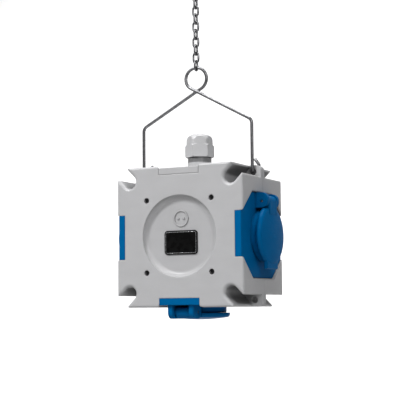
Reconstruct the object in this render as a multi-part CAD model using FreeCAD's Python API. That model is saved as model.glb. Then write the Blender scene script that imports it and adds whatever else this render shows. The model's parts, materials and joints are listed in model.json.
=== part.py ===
import FreeCAD, Part
import math
import os

# Portable power distribution box: a square two-shell case that hangs from a chain, with a
# lidded socket on its left, right and bottom sides and a cable gland on top.
# Millimetres. +X right, +Y to the rear, +Z up. The origin is the hook's bearing point, from
# which everything hangs; the chain hangs down the Z axis.

V = FreeCAD.Vector
ORIGIN = V(0, 0, 0)
RIGHT = V(1, 0, 0)
REAR = V(0, 1, 0)
UP = V(0, 0, 1)

# ---- case ----
CASE_SIDE = 130.0
CASE_DEPTH = 87.0
WALL = 3.0
EDGE_ROUND = 2.0
CORNER_SLOT = 52.1          # corner slots: centre of the round end, from the case axes
SLOT_RADIUS = 6.2
SLOT_FLARE = 3.2            # rounding of the slot's edge on the front and rear faces
HORN_ROUND = 1.5            # rounding of the pointed horns beside each slot
LUG_INNER = 46.0
LUG_THICK = 4.0             # in each shell
LUG_ROUND = 5.0
LUG_HOLE_X = 57.4
LUG_HOLE_Z = 58.7
LUG_HOLE_RADIUS = 3.0
DISH_RADIUS = 38.0
DISH_FLOOR_RADIUS = 32.0
DISH_DEPTH = 5.0
SCREW_PITCH = 33.4          # case screws, from the case axes
SCREW_HOLE_RADIUS = 2.6
BOSS_RADIUS = 4.6

# ---- side plates ----
PLATE_LOW = 2.0             # plate surface below the case side
PLATE_THICK = 3.0
PLATE_HALF = 39.0           # half length across the depth direction
PLATE_FLAT = 22.5           # half width of the end edges
TAB_HALF = 20.5             # tabs that wrap the front and rear faces
TAB_REACH = 8.2
FIT_GAP = 0.2
LIP_WIDTH = 2.0             # hidden flange behind the case wall

# ---- sockets ----
COLLAR_RADIUS = 24.0
COLLAR_TOP = 4.9
WELL_RADIUS = 19.75
WELL_OUTER = 22.0
WELL_DEPTH = 17.5
PIN_PITCH = 19.0            # contact spacing
INSERT_BASE = -26.0
COVER_BASE = -34.0
HINGE_REACH = 30.6          # hinge pin from the socket axis
HINGE_HEIGHT = 4.4          # hinge pin above the case side
BARREL_RADIUS = 6.0
ARM_HALF = 8.2
EAR_INNER = 8.5
EAR_OUTER = 13.0
HINGE_PIN_RADIUS = 1.2
LID_RADIUS = 27.2
LID_UNDER = 5.2
LID_TOP = 10.4
LID_CROWN = 1.0             # dome's top above the hinge arm
LID_SHOULDER = 3.0          # rounding of the lid's rim
LID_SLOPE = 9.0             # slope of the dome at its edge, in degrees
LID_CHORD = 24.0            # lid edge is cut straight here beside the hinge arm

# ---- bail, chain and hook ----
BAIL_WIRE = 1.5             # radius
BAIL_OFFSET = 6.0           # case mid-plane behind the bail plane
BAIL_SHOULDER = 107.7       # above the case centre
RING_CENTRE = 151.2
RING_RADIUS = 10.5
LUG_CONTACT = 59.8
LINK_COUNT = 11
LINK_WIRE = 0.75            # radius
LINK_INSIDE = 7.65
LINK_HALF_WIDTH = 2.45      # wire centre from the link's axis
LINK_GAP = 0.15
HOOK_WIRE = 1.5             # radius
HOOK_BEND = 8.0             # wire centre
EYE_BEND = 6.0

# ---- gland ----
GLAND_STUD = 9.9
NECK_RADIUS = 11.2
NUT_ACROSS_FLATS = 24.0
NUT_BASE = 11.0
NUT_SHOULDER = 23.5
NUT_TOP = 32.7

# ---- places worked out from the sizes above ----
HALF = CASE_SIDE / 2
FACE = CASE_DEPTH / 2
PITCH = LINK_INSIDE - LINK_GAP
HOOK_CENTRE = HOOK_WIRE - HOOK_BEND
EYE_CENTRE = HOOK_CENTRE - HOOK_BEND - EYE_BEND
FIRST_LINK = EYE_CENTRE - EYE_BEND + HOOK_WIRE + LINK_GAP - LINK_INSIDE / 2
LAST_LINK = FIRST_LINK - PITCH * (LINK_COUNT - 1)
RING_TOP = LAST_LINK - LINK_INSIDE / 2 + LINK_GAP + BAIL_WIRE
CASE_Z = RING_TOP - RING_RADIUS - RING_CENTRE
CASE_CENTRE = V(0, BAIL_OFFSET, CASE_Z)
WELL_FLOOR = COLLAR_TOP - WELL_DEPTH
CORNERS = [(1, 1), (-1, 1), (-1, -1), (1, -1)]
SOCKET_SIDES = {"right": (RIGHT, 0), "left": (-RIGHT, 180), "bottom": (-UP, 90)}
HINGE_EDGE = {"right": 38.6, "left": 38.6, "bottom": 41.0}


# ---------------------------------------------------------------- basic shapes

def fuse(shapes):
    """One solid from shapes that meet or overlap."""
    return shapes[0].multiFuse(shapes[1:]).removeSplitter() if len(shapes) > 1 else shapes[0]


def block(low, high):
    size = high - low
    return Part.makeBox(size.x, size.y, size.z, low)


def rod(radius, start, end):
    return Part.makeCylinder(radius, (end - start).Length, start, end - start)


def post(radius, low, high, x=0, y=0):
    """Upright cylinder between two heights."""
    return rod(radius, V(x, y, low), V(x, y, high))


def tube(outer, inner, low, high):
    return post(outer, low, high).cut(post(inner, low - 1, high + 1))


def polygon(points):
    return Part.Face(Part.makePolygon(points + [points[0]]))


def arc(centre, radius, start, end, plane=(RIGHT, UP)):
    """Arc in a plane, from one angle to another in degrees."""
    points = []
    for angle in (start, (start + end) / 2, end):
        turn = math.radians(angle)
        points.append(centre + plane[0] * (radius * math.cos(turn)) + plane[1] * (radius * math.sin(turn)))
    return Part.Arc(*points).toShape()


def face_of(edges):
    return Part.Face(Part.Wire(Part.__sortEdges__(edges)))


def line(start, end):
    return Part.LineSegment(start, end).toShape()


def bent_rod(edges, radius):
    """Round bar along straight and arc edges that meet in tangent."""
    pieces = []
    for edge in edges:
        start = edge.valueAt(edge.FirstParameter)
        along = edge.tangentAt(edge.FirstParameter)
        disc = Part.Face(Part.Wire(Part.makeCircle(radius, start, along)))
        if isinstance(edge.Curve, Part.Circle):
            sweep = math.degrees(edge.LastParameter - edge.FirstParameter)
            pieces.append(disc.revolve(edge.Curve.Center, edge.Curve.Axis, sweep))
        else:
            pieces.append(disc.extrude(edge.valueAt(edge.LastParameter) - start))
    return fuse(pieces)


def rounded_route(points, bend=None):
    """Straight runs joined by tangent arcs, as large as the runs allow if no bend is given."""
    edges = []
    start = points[0]
    for before, corner, after in zip(points, points[1:], points[2:]):
        back = (before - corner).normalize()
        ahead = (after - corner).normalize()
        half = back.getAngle(ahead) / 2
        shorter = min(before.distanceToPoint(corner), after.distanceToPoint(corner))
        radius = bend or 0.45 * shorter * math.tan(half)
        reach = radius / math.tan(half)
        middle = (back + ahead).normalize()
        centre = corner + middle * (radius / math.sin(half))
        edges.append(line(start, corner + back * reach))
        edges.append(Part.Arc(corner + back * reach, centre - middle * radius, corner + ahead * reach).toShape())
        start = corner + ahead * reach
    edges.append(line(start, points[-1]))
    return edges


def moved(shape, offset):
    copy = shape.copy()
    copy.translate(offset)
    return copy


def mirrored(shape):
    """Front half turned into the matching rear half, about the case mid-plane."""
    return shape.mirror(ORIGIN, REAR)


def on_side(shape, outward, turn=0):
    """Put a shape drawn with X along the depth and Z out of the case onto a case side."""
    across = outward.cross(REAR)
    base = CASE_CENTRE + outward * HALF
    place = FreeCAD.Placement(FreeCAD.Matrix(REAR.x, across.x, outward.x, base.x,
                                             REAR.y, across.y, outward.y, base.y,
                                             REAR.z, across.z, outward.z, base.z))
    copy = shape.copy()
    copy.Placement = place.multiply(FreeCAD.Placement(ORIGIN, FreeCAD.Rotation(UP, turn)))
    return copy


def octagon(grow, low, high):
    """Outline of a side plate: X along the depth, Y across, cut corners."""
    points = []
    for across, along in ((PLATE_HALF, PLATE_FLAT), (TAB_HALF, FACE - FIT_GAP)):
        points.append((along + grow, across + grow))
    corners = []
    for sx, sy in CORNERS:
        pair = points if sx * sy > 0 else points[::-1]
        corners += [V(sx * x, sy * y, low) for x, y in reversed(pair)]
    return polygon(corners).extrude(V(0, 0, high - low))


# ---------------------------------------------------------------- case shells

def slot_axis(sx, sz):
    return V(sx * CORNER_SLOT, 0, sz * CORNER_SLOT)


def slot_cutter(sx, sz, radius, depth):
    """Corner slot along the whole depth: round inner end, parallel flanks, open at the corner."""
    centre = slot_axis(sx, sz)
    round_end = rod(radius, centre - REAR * depth, centre + REAR * depth)
    channel = block(V(0, -depth, -radius), V(CORNER_SLOT, depth, radius))
    channel.rotate(ORIGIN, REAR, -math.degrees(math.atan2(sz, sx)))
    return fuse([round_end, moved(channel, centre)])


def slot_flare(sx, sz):
    """Rounded edge of a corner slot on the front face."""
    inner = SLOT_RADIUS - 0.5
    outer = SLOT_RADIUS + SLOT_FLARE
    low = V(inner, SLOT_FLARE - FACE, 0)
    bend = arc(V(outer, SLOT_FLARE - FACE, 0), SLOT_FLARE, 180, 270, (RIGHT, REAR))
    edges = [line(low, V(SLOT_RADIUS, low.y, 0)), bend, line(V(outer, -FACE, 0), V(outer, -FACE - 1, 0))]
    edges += [line(V(outer, -FACE - 1, 0), V(inner, -FACE - 1, 0)), line(V(inner, -FACE - 1, 0), low)]
    profile = face_of(edges)
    ring = profile.revolve(ORIGIN, REAR, 360)
    flanks = []
    for side in (1, -1):
        flank = profile.copy()
        flank.rotate(ORIGIN, REAR, -90 * side)
        flanks.append(flank.extrude(V(CORNER_SLOT, 0, 0)))
    flare = fuse([ring] + flanks)
    flare.rotate(ORIGIN, REAR, -math.degrees(math.atan2(sz, sx)))
    return moved(flare, slot_axis(sx, sz))


def horn_round(side):
    """What rounds off the horn on one side of a slot that opens along X."""
    mouth = HALF * math.sqrt(2)
    turn = math.pi / 8
    across = SLOT_RADIUS + HORN_ROUND
    centre = V(mouth - SLOT_RADIUS - HORN_ROUND / math.tan(turn), -FACE - 1, side * across)
    flank = V(centre.x, centre.y, side * (SLOT_RADIUS - 1))
    outside = [V(mouth, centre.y, flank.z), centre + V(2 * HORN_ROUND, 0, side * 2 * HORN_ROUND)]
    wedge = polygon([centre, flank] + outside).extrude(REAR * (CASE_DEPTH + 2))
    return wedge.cut(rod(HORN_ROUND, centre, centre + REAR * (CASE_DEPTH + 2)))


def case_section(inset, depth):
    """The case's outline, taken in by an inset, along the whole depth."""
    half = HALF - inset
    body = block(V(-half, -depth, -half), V(half, depth, half))
    return body.cut([slot_cutter(sx, sz, SLOT_RADIUS + inset, FACE + 5) for sx, sz in CORNERS])


def dish(grow):
    """Round recess in the front face, with a short steep wall and a rounded foot."""
    rim = DISH_RADIUS + grow
    floor = DISH_FLOOR_RADIUS + grow
    top = -FACE - 1
    bottom = DISH_DEPTH + grow - FACE
    bend = rim - 0.4 - floor
    edges = [line(V(0, top, 0), V(rim, top, 0)), line(V(rim, top, 0), V(rim - 0.4, bottom - bend, 0))]
    edges += [arc(V(floor, bottom - bend, 0), bend, 0, 90, (RIGHT, REAR))]
    edges += [line(V(floor, bottom, 0), V(0, bottom, 0)), line(V(0, bottom, 0), V(0, top, 0))]
    return face_of(edges).revolve(ORIGIN, REAR, 360)


def lug(sx, sz):
    """Web across a corner slot, out to the rounded square corner, with its hanging hole."""
    web = block(V(LUG_INNER, -LUG_THICK, LUG_INNER), V(HALF, 0, HALF))
    outer = [edge for edge in web.Edges if min(v.X for v in edge.Vertexes) > HALF - 1
             and min(v.Z for v in edge.Vertexes) > HALF - 1]
    web = web.makeFillet(LUG_ROUND, outer)
    web = web.cut(rod(LUG_HOLE_RADIUS, V(LUG_HOLE_X, -9, LUG_HOLE_Z), V(LUG_HOLE_X, 9, LUG_HOLE_Z)))
    web = web if sx > 0 else web.mirror(ORIGIN, RIGHT)
    return web if sz > 0 else web.mirror(ORIGIN, UP)


def side_opening():
    """Opening for a side plate through a case side, with a shallow rebate and end notches."""
    wall = octagon(FIT_GAP, -WALL - 0.1, 5)
    rebate = octagon(0.8, -0.5, 5)
    half = TAB_HALF + FIT_GAP
    notch = block(V(-FACE - 1, -half, -TAB_REACH - FIT_GAP), V(FACE + 1, half, 5))
    inside = block(V(5 - FACE, -half - 1, -TAB_REACH - 1), V(FACE - 5, half + 1, 6))
    return fuse([wall, rebate]), notch.cut(inside)


def case_half():
    """Front shell about its own centre, before what differs between the two shells."""
    shell = block(V(-HALF, -FACE, -HALF), V(HALF, FACE, HALF))
    rim = [edge for edge in shell.Edges if max(v.Y for v in edge.Vertexes) < 1 - FACE]
    shell = shell.makeFillet(EDGE_ROUND, rim)
    for sx, sz in CORNERS:
        tips = [horn_round(1), horn_round(-1)]
        for tip in tips:
            tip.rotate(ORIGIN, REAR, -math.degrees(math.atan2(sz, sx)))
        shell = shell.cut(tips + [slot_cutter(sx, sz, SLOT_RADIUS, FACE + 5), slot_flare(sx, sz)])
    shell = shell.common(block(V(-HALF, -FACE, -HALF), V(HALF, 0, HALF)))
    cavity = case_section(WALL, FACE - WALL).cut(dish(WALL))
    shell = shell.cut([cavity, dish(0)])
    extras = [lug(sx, sz) for sx, sz in CORNERS]
    for sx, sz in CORNERS:
        foot = V(sx * SCREW_PITCH, -FACE + WALL - 0.5, sz * SCREW_PITCH)
        extras.append(rod(BOSS_RADIUS, foot, V(foot.x, 0, foot.z)))
    shell = fuse([shell] + extras)
    for outward in (RIGHT, -RIGHT, UP, -UP):
        for tool in side_opening():
            shell = shell.cut(moved(on_side(tool, outward), -CASE_CENTRE))
    return shell.cut(gasket_ring(0.1))


def gasket_ring(grow):
    """Sealing cord in the shells' meeting edges, one length round each corner."""
    outer = case_section(1.0 - grow, 0.9 + grow)
    ring = outer.cut(case_section(2.0 + grow, FACE))
    gap = PLATE_HALF + LIP_WIDTH - grow
    return ring.cut([block(V(-gap, -9, -99), V(gap, 9, 99)), block(V(-99, -9, -gap), V(99, 9, gap))])


def screw_places():
    return [(sx * SCREW_PITCH, sz * SCREW_PITCH) for sx, sz in CORNERS]


def front_shell():
    """Front half: through holes for the case screws and a plain raised mark in the dish."""
    shell = case_half()
    for x, z in screw_places():
        shell = shell.cut([rod(SCREW_HOLE_RADIUS, V(x, -FACE - 1, z), V(x, 7 - FACE, z)),
                           rod(1.7, V(x, -FACE, z), V(x, 1, z))])
    floor = DISH_DEPTH - FACE
    centre = V(0, floor, 16)
    ring = rod(7.6, centre - REAR * 0.8, centre + REAR).cut(rod(6.4, centre - REAR * 2, centre + REAR * 2))
    pips = [rod(1.1, centre + RIGHT * x - REAR * 0.8, centre + RIGHT * x + REAR) for x in (-2.8, 2.8)]
    return fuse([shell, ring] + pips)


def rear_shell():
    """Rear half: the same moulding with blind holes that the case screws cut into."""
    shell = mirrored(case_half())
    return shell.cut([rod(1.5, V(x, -1, z), V(x, 13, z)) for x, z in screw_places()])


def case_screws():
    """Sunk into the front face, four alike: pan head with a cross recess, and shank."""
    screws = []
    for x, z in screw_places():
        top = 4.2 - FACE
        screw = fuse([rod(2.4, V(x, top, z), V(x, 7 - FACE, z)), rod(1.5, V(x, 6.9 - FACE, z), V(x, 12.5, z))])
        cross = [block(V(x - 1.5, top - 1, z - 0.35), V(x + 1.5, top + 1.2, z + 0.35)),
                 block(V(x - 0.35, top - 1, z - 1.5), V(x + 0.35, top + 1.2, z + 1.5))]
        screws.append(screw.cut(cross))
    return Part.makeCompound(screws)


def badge():
    """Blank name plate on the dish floor."""
    floor = DISH_DEPTH - FACE
    plate = block(V(-17, floor - 1.2, -17), V(17, floor, 5))
    upright = [edge for edge in plate.Edges if abs(edge.tangentAt(edge.FirstParameter).y) > 0.9]
    plate = plate.makeFillet(3.0, upright)
    rim = [edge for edge in plate.Edges if max(v.Y for v in edge.Vertexes) < floor - 1.1]
    return plate.makeFillet(0.4, rim)


# ---------------------------------------------------------------- side plates and gland

def plate_body():
    """Plate in a case side, with tabs round to the front and rear and a hidden flange."""
    top = -PLATE_LOW
    plate = octagon(0, top - PLATE_THICK, top).common(
        fuse([block(V(-99, -99, -WALL), V(99, 99, 0)),
              block(V(WALL + FIT_GAP - FACE, -99, -9), V(FACE - WALL - FIT_GAP, 99, 0)),
              block(V(-99, -TAB_HALF, -9), V(99, TAB_HALF, 0))]))
    flange = octagon(LIP_WIDTH, top - PLATE_THICK, -WALL - FIT_GAP).common(
        block(V(WALL + FIT_GAP - FACE, -99, -9), V(FACE - WALL - FIT_GAP, 99, 0)))
    tabs = [block(V(36, -TAB_HALF, -TAB_REACH), V(FACE, TAB_HALF, top)),
            block(V(-FACE, -TAB_HALF, -TAB_REACH), V(-36, TAB_HALF, top))]
    return fuse([plate, flange] + tabs)


def blank_plate():
    """Closed plate on top with a low round boss for the gland."""
    plate = fuse([plate_body(), post(16, -3, 0)])
    return plate.cut(post(GLAND_STUD + 0.1, -9, 9))


def hexagon(across_flats, low, high):
    radius = across_flats / math.sqrt(3)
    points = [V(radius * math.cos(math.radians(60 * k)), radius * math.sin(math.radians(60 * k)), low)
              for k in range(6)]
    return polygon(points).extrude(V(0, 0, high - low))


def revolved(points):
    """Turned shape from half-profile points (radius, height)."""
    return polygon([V(r, 0, z) for r, z in points]).revolve(ORIGIN, UP, 360)


def gland_body():
    """Threaded stud through the plate, round neck and the thread that takes the dome nut."""
    body = fuse([post(GLAND_STUD, -15, 2), post(NECK_RADIUS, 1, 10.4), post(9.6, 10, 21)])
    return body.cut(post(7.2, -16, 22))


def gland_nut():
    """Dome nut: hexagon with rounded shoulders, and a faceted dome with the cable mouth."""
    corner = NUT_ACROSS_FLATS / math.sqrt(3)
    turned = revolved([(0, NUT_BASE), (corner - 0.9, NUT_BASE), (corner, NUT_BASE + 1.2),
                       (corner, NUT_SHOULDER - 1.6), (corner - 1.6, NUT_SHOULDER), (0, NUT_SHOULDER)])
    lower = hexagon(NUT_ACROSS_FLATS, NUT_BASE, NUT_SHOULDER).common(turned)
    crown = revolved([(0, NUT_SHOULDER - 1), (12.6, NUT_SHOULDER - 1), (12.4, 28.2), (11.6, 30.4),
                      (9.9, 32.0), (8.2, NUT_TOP), (0, NUT_TOP)])
    upper = hexagon(22.6, NUT_SHOULDER - 1, NUT_TOP).common(crown)
    hollow = revolved([(0, NUT_BASE - 1), (9.75, NUT_BASE - 1), (9.75, 22.0), (8.4, 26.5), (7.3, 29.5),
                       (7.3, NUT_TOP + 1), (0, NUT_TOP + 1)])
    return fuse([lower, upper]).cut(hollow)


def gland_lock_nut():
    nut = hexagon(25.0, -9.4, -5.0)
    return nut.cut(post(GLAND_STUD, -12, 0))


def gland_seal():
    """Rubber seal that the dome nut squeezes on to a cable."""
    return revolved([(4.2, 13), (7.1, 13), (7.1, 27.2), (6.4, 28.4), (4.2, 28.4)])


# ---------------------------------------------------------------- socket pieces
# Drawn with Z out of the case, Y towards the hinge and X along the hinge pin.

def hinge_cylinder(radius, half_length):
    middle = V(0, HINGE_REACH, HINGE_HEIGHT)
    return rod(radius, middle - RIGHT * half_length, middle + RIGHT * half_length)


def hinge_ear(edge, x):
    """Fixed ear that carries one end of the hinge pin: round inside, upright outside."""
    plane = (REAR, UP)
    top = HINGE_HEIGHT + BARREL_RADIUS
    inner = HINGE_REACH - BARREL_RADIUS
    low = -PLATE_LOW - 1
    shoulder = V(x, edge - BARREL_RADIUS, HINGE_HEIGHT)
    edges = [line(V(x, edge, HINGE_HEIGHT), V(x, edge, low)), line(V(x, edge, low), V(x, inner, low))]
    edges += [line(V(x, inner, low), V(x, inner, HINGE_HEIGHT))]
    edges += [arc(V(x, HINGE_REACH, HINGE_HEIGHT), BARREL_RADIUS, 180, 90, plane)]
    edges += [line(V(x, HINGE_REACH, top), V(x, shoulder.y, top)), arc(shoulder, BARREL_RADIUS, 90, 0, plane)]
    ear = face_of(edges).extrude(V(EAR_OUTER - EAR_INNER, 0, 0))
    return ear.cut(hinge_cylinder(HINGE_PIN_RADIUS, 20))


def socket_housing(turn, edge):
    """Side plate with the socket's collar, its well and the two hinge ears."""
    plate = plate_body()
    plate.rotate(ORIGIN, UP, -turn)
    collar = revolved([(0, -4), (COLLAR_RADIUS, -4), (COLLAR_RADIUS, COLLAR_TOP - 0.6),
                       (COLLAR_RADIUS - 0.6, COLLAR_TOP), (0, COLLAR_TOP)])
    well = post(WELL_OUTER, -14.2, -3)
    ears = [hinge_ear(edge, EAR_INNER), hinge_ear(edge, -EAR_OUTER)]
    housing = fuse([plate, collar, well] + ears)
    guide = block(V(18.2, -2.5, WELL_FLOOR + 1.2), V(WELL_RADIUS + 1, 2.5, 2))
    return fuse([housing.cut(post(WELL_RADIUS, -20, 9)), guide, guide.mirror(ORIGIN, RIGHT)])


def contact_places():
    return [V(side * PIN_PITCH / 2, 0, 0) for side in (1, -1)]


def socket_insert():
    """Round contact carrier: its face is the floor of the well."""
    body = fuse([post(WELL_RADIUS - 0.2, -15, WELL_FLOOR), post(WELL_OUTER, INSERT_BASE, -14.2)])
    tools = [post(1.6, INSERT_BASE - 1, 0), post(3.1, WELL_FLOOR - 2, 0)]
    for place in contact_places():
        tools.append(post(2.9, INSERT_BASE, 0, place.x))
        tools.append(post(3.6, INSERT_BASE - 1, WELL_FLOOR - 2.2, place.x))
    for side in (1, -1):
        tools.append(block(V(-3.3, side * 18.5 - 0.9, INSERT_BASE - 1), V(3.3, side * 18.5 + 0.9, 0)))
    return body.cut(tools)


def socket_cover():
    """Back cover with pockets for the terminals."""
    body = post(WELL_OUTER, COVER_BASE, INSERT_BASE)
    body = body.cut(block(V(-3.3, -19.6, INSERT_BASE - 1.2), V(3.3, 19.6, 0)))
    body = body.cut(block(V(-3.8, -16, COVER_BASE - 1), V(3.8, -8, 0)))
    for place in contact_places():
        body = body.cut(block(place + V(-4.3, -4.3, COVER_BASE - 1), place + V(4.3, 4.3, 0)))
    return body.cut(post(1.5, COVER_BASE - 1, 0))


def socket_contacts():
    """Live and neutral sleeves, each with its terminal."""
    contacts = []
    for place in contact_places():
        sleeve = tube(3.5, 2.4, INSERT_BASE - 0.5, WELL_FLOOR - 2.3)
        slot = block(V(-0.4, -5, INSERT_BASE + 3), V(0.4, 5, 0))
        terminal = block(V(-4, -4, COVER_BASE + 1), V(4, 4, INSERT_BASE))
        wire_hole = rod(1.5, V(0, 0, COVER_BASE), V(0, 0, COVER_BASE + 5))
        contacts.append(moved(fuse([sleeve.cut(slot), terminal]).cut(wire_hole), place))
    return Part.makeCompound(contacts)


def earth_clip():
    """Earth strap across the back with a sprung tongue up each side of the well."""
    level = INSERT_BASE - 1.1
    strap = block(V(-3, -19, level), V(3, 19, level + 1))
    terminal = block(V(-3.5, -15.5, COVER_BASE + 1), V(3.5, -8.5, level + 0.5))
    tongues = []
    for side in (1, -1):
        edges = rounded_route([V(-3, side * 18.5, level), V(-3, side * 18.5, -9), V(-3, side * 17.4, -4),
                               V(-3, side * 18.7, -1)], 3.0)
        thickness = 0.9
        for edge in edges:
            normal = edge.tangentAt(edge.FirstParameter).cross(RIGHT).normalize() * (thickness / 2)
            start = edge.valueAt(edge.FirstParameter)
            profile = polygon([start + normal, start - normal, start - normal + RIGHT * 6, start + normal + RIGHT * 6])
            if isinstance(edge.Curve, Part.Circle):
                sweep = math.degrees(edge.LastParameter - edge.FirstParameter)
                tongues.append(profile.revolve(edge.Curve.Center, edge.Curve.Axis, sweep))
            else:
                tongues.append(profile.extrude(edge.valueAt(edge.LastParameter) - start))
    strap = fuse([strap, terminal] + tongues)
    return strap.cut([post(1.7, COVER_BASE, 0), rod(1.5, V(0, -12, COVER_BASE), V(0, -12, COVER_BASE + 5))])


def centre_screw():
    screw = fuse([post(2.9, WELL_FLOOR - 1.9, WELL_FLOOR - 0.3), post(1.5, COVER_BASE + 1.5, WELL_FLOOR - 1.8)])
    return screw.cut(block(V(-3.5, -0.4, WELL_FLOOR - 1.1), V(3.5, 0.4, 0)))


def socket_lid():
    """Softly domed round lid with a finger lip and the hinge arm with its barrel."""
    slope = math.radians(LID_SLOPE)
    edge = LID_RADIUS - LID_SHOULDER
    dome = edge / math.sin(slope) + LID_SHOULDER
    top = LID_TOP + LID_CROWN
    shoulder = top - dome * (1 - math.cos(slope)) - LID_SHOULDER * math.cos(slope)
    edges = [line(V(0, 0, LID_UNDER), V(LID_RADIUS, 0, LID_UNDER)),
             line(V(LID_RADIUS, 0, LID_UNDER), V(LID_RADIUS, 0, shoulder)),
             arc(V(edge, 0, shoulder), LID_SHOULDER, 0, 90 - LID_SLOPE),
             arc(V(0, 0, top - dome), dome, 90 - LID_SLOPE, 90), line(V(0, 0, top), V(0, 0, LID_UNDER))]
    disc = face_of(edges).revolve(ORIGIN, UP, 360)
    beside = [block(V(ARM_HALF, LID_CHORD, 0), V(20, 40, 20)), block(V(-20, LID_CHORD, 0), V(-ARM_HALF, 40, 20))]
    disc = disc.cut(beside)
    arm = fuse([block(V(-ARM_HALF, 19, LID_UNDER), V(ARM_HALF, HINGE_REACH, LID_TOP)),
                hinge_cylinder(BARREL_RADIUS, ARM_HALF)])
    lip = block(V(-12, -31, LID_UNDER + 0.4), V(12, -23, LID_TOP - 1.6))
    lip_ends = [edge for edge in lip.Edges if max(v.Y for v in edge.Vertexes) < -30]
    lip = lip.makeFillet(1.2, lip_ends)
    lid = fuse([disc, arm, lip])
    under = post(19.6, 0, LID_TOP - 1.8)
    spring_room = fuse([hinge_cylinder(3.8, 3.6),
                        block(V(-3.6, HINGE_REACH - 3.8, -5), V(3.6, HINGE_REACH + 3.8, HINGE_HEIGHT))])
    return lid.cut([under, tube(23.7, 20.5, 0, 6.8), spring_room, hinge_cylinder(HINGE_PIN_RADIUS + 0.05, 20)])


def lid_seal():
    return tube(23.6, 20.6, COLLAR_TOP + 0.1, 6.8)


def hinge_pin():
    return hinge_cylinder(HINGE_PIN_RADIUS, EAR_OUTER - 0.2)


def lid_spring():
    """Outer shape of the coil that closes the lid."""
    return hinge_cylinder(3.2, 3.3).cut(hinge_cylinder(2.0, 4))


# ---------------------------------------------------------------- wiring inside

BLOCK_LOW = V(-15, -10, 10)
BLOCK_HIGH = V(15, 10, 26)
LANES = {"live": 6.5, "earth": 0.0, "neutral": -6.5}


def terminal_block():
    """Three-way connector in the middle of the case."""
    body = block(BLOCK_LOW, BLOCK_HIGH)
    body = body.makeFillet(1.0, [edge for edge in body.Edges if min(v.Z for v in edge.Vertexes) > 25])
    for lane in LANES.values():
        body = body.cut([rod(1.5, V(-16, lane, 17), V(-9, lane, 17)), rod(1.5, V(9, lane, 17), V(16, lane, 17))])
        body = body.cut([rod(1.5, V(lane, 0, 9), V(lane, 0, 14)), rod(1.9, V(0, lane, 20), V(0, lane, 27))])
    return body


def terminal_screws():
    screws = []
    for lane in LANES.values():
        screw = rod(1.8, V(0, lane, 20), V(0, lane, 25.2))
        screws.append(screw.cut(block(V(-2, lane - 0.3, 24.4), V(2, lane + 0.3, 26))))
    return Part.makeCompound(screws)


def wire_exit(wire, outward, turn):
    """Where a wire leaves a socket's back cover, from the case centre: no two wires cross."""
    side = -1 if turn == 180 else 1
    along = {"live": V(side * PIN_PITCH / 2, 0, 0), "neutral": V(-side * PIN_PITCH / 2, 0, 0),
             "earth": V(0, -12, 0)}[wire]
    drop = V(0, 0, COVER_BASE + 5)
    return on_side(Part.Vertex(along + drop), outward, turn).Point - CASE_CENTRE


def wires(wire):
    """One core from each socket to the terminal block."""
    lane = LANES[wire]
    cores = []
    for name, (outward, turn) in SOCKET_SIDES.items():
        start = wire_exit(wire, outward, turn)
        if name == "bottom":
            end = V(lane, 0, 14)
        else:
            end = V(outward.x * 9, lane, 17)
        lead = start - outward * 9
        turn_in = end + outward * 10
        cores.append(bent_rod(rounded_route([start, lead, turn_in, end]), 1.3))
    return Part.makeCompound(cores)


# ---------------------------------------------------------------- bail, chain and hook

def chain_link(number):
    """Welded oval link; odd links lie across the case, even links lie along it."""
    centre = V(0, 0, FIRST_LINK - PITCH * (number - 1))
    wide = REAR if number % 2 else RIGHT
    half = LINK_INSIDE / 2 + LINK_WIRE - LINK_HALF_WIDTH
    top = centre + UP * half
    bottom = centre - UP * half
    edges = [line(bottom + wide * LINK_HALF_WIDTH, top + wide * LINK_HALF_WIDTH),
             arc(top, LINK_HALF_WIDTH, 0, 180, (wide, UP)),
             line(top - wide * LINK_HALF_WIDTH, bottom - wide * LINK_HALF_WIDTH),
             arc(bottom, LINK_HALF_WIDTH, 180, 360, (wide, UP))]
    return bent_rod(edges, LINK_WIRE)


def hook():
    """S-shaped hook: open bend above, closed eye below."""
    upper = V(0, 0, HOOK_CENTRE)
    lower = V(0, 0, EYE_CENTRE)
    open_bend = [arc(upper, HOOK_BEND, -90, 45), arc(upper, HOOK_BEND, 45, 200)]
    eye = [arc(lower, EYE_BEND, 90, 250), arc(lower, EYE_BEND, 250, 416)]
    return fuse([bent_rod(open_bend, HOOK_WIRE), bent_rod(eye, HOOK_WIRE)])


def bail():
    """One wire: a hook through each upper lug, legs, diagonals that cross, and a ring."""
    drop = RING_CENTRE - BAIL_SHOULDER
    reach = math.hypot(drop, LUG_HOLE_X)
    slope = math.atan2(drop, LUG_HOLE_X) - math.asin(RING_RADIUS / reach)
    touch = math.degrees(slope) - 90
    ring = V(0, 0, CASE_Z + RING_CENTRE)
    round_top = [arc(ring, RING_RADIUS, 180 - touch, 90), arc(ring, RING_RADIUS, 90, touch)]
    pieces = [bent_rod(round_top, BAIL_WIRE)]
    for side in (1, -1):
        turn = math.radians(touch)
        far_touch = ring + V(-side * RING_RADIUS * math.cos(turn), 0, RING_RADIUS * math.sin(turn))
        leg = side * LUG_HOLE_X
        points = [far_touch, V(leg, 0, CASE_Z + BAIL_SHOULDER), V(leg, 0, CASE_Z + LUG_CONTACT)]
        points.append(V(leg, 2 * BAIL_OFFSET, CASE_Z + LUG_CONTACT))
        points.append(V(leg + side * 1.6, 2 * BAIL_OFFSET, CASE_Z + 66.5))
        points.append(V(leg - side * 2.6, 2 * BAIL_OFFSET, CASE_Z + 72))
        pieces.append(bent_rod(bail_route(points), BAIL_WIRE))
    return fuse(pieces)


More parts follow.
